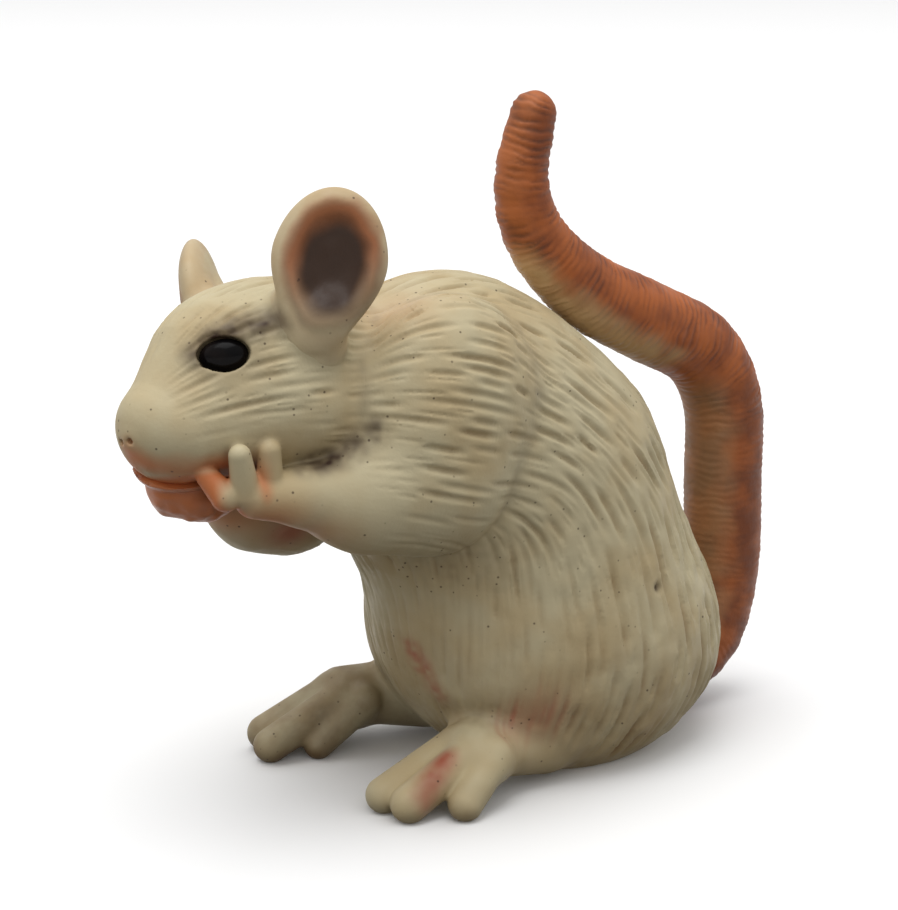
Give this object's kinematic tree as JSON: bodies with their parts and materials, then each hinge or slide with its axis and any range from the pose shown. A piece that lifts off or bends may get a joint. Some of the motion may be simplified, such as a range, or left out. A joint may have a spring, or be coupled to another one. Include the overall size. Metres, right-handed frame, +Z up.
{
  "type": "mouse figurine",
  "caption": "Small moulded vinyl mouse that sits up on its haunches, holds food to its mouth and carries its ringed tail looped up over its back; it rests on the rump and hind feet.",
  "frame": {"origin": "middle of the flat patch under the rump, on the surface that the figurine stands on, in the plane between its left and right sides", "axes": "+Z up; the mouse faces -Y; +X is its left side"},
  "size_m": [0.0189, 0.0451, 0.0395],
  "materials": {
    "fur_vinyl": "cream vinyl moulded with combed fur grooves, ochre wash left in the recesses",
    "ear_vinyl": "smooth cream vinyl, dish sprayed from orange-brown to near black",
    "foot_vinyl": "smooth cream vinyl with brown and red-brown wash between the toes",
    "tail_vinyl": "terracotta paint over fine moulded rings, rubbed cream on the underside",
    "food_vinyl": "smooth orange-brown and mauve paint",
    "eye_gloss": "high gloss black"
  },
  "bodies": {
    "root": {"torso": "fur_vinyl", "head": "fur_vinyl", "left_forelimb": "fur_vinyl", "right_forelimb": "fur_vinyl", "left_ear": "ear_vinyl", "right_ear": "ear_vinyl", "left_hind_foot": "foot_vinyl", "right_hind_foot": "foot_vinyl", "tail": "tail_vinyl", "left_eye": "eye_gloss", "right_eye": "eye_gloss", "food_morsel": "food_vinyl"}
  },
  "joints": []
}
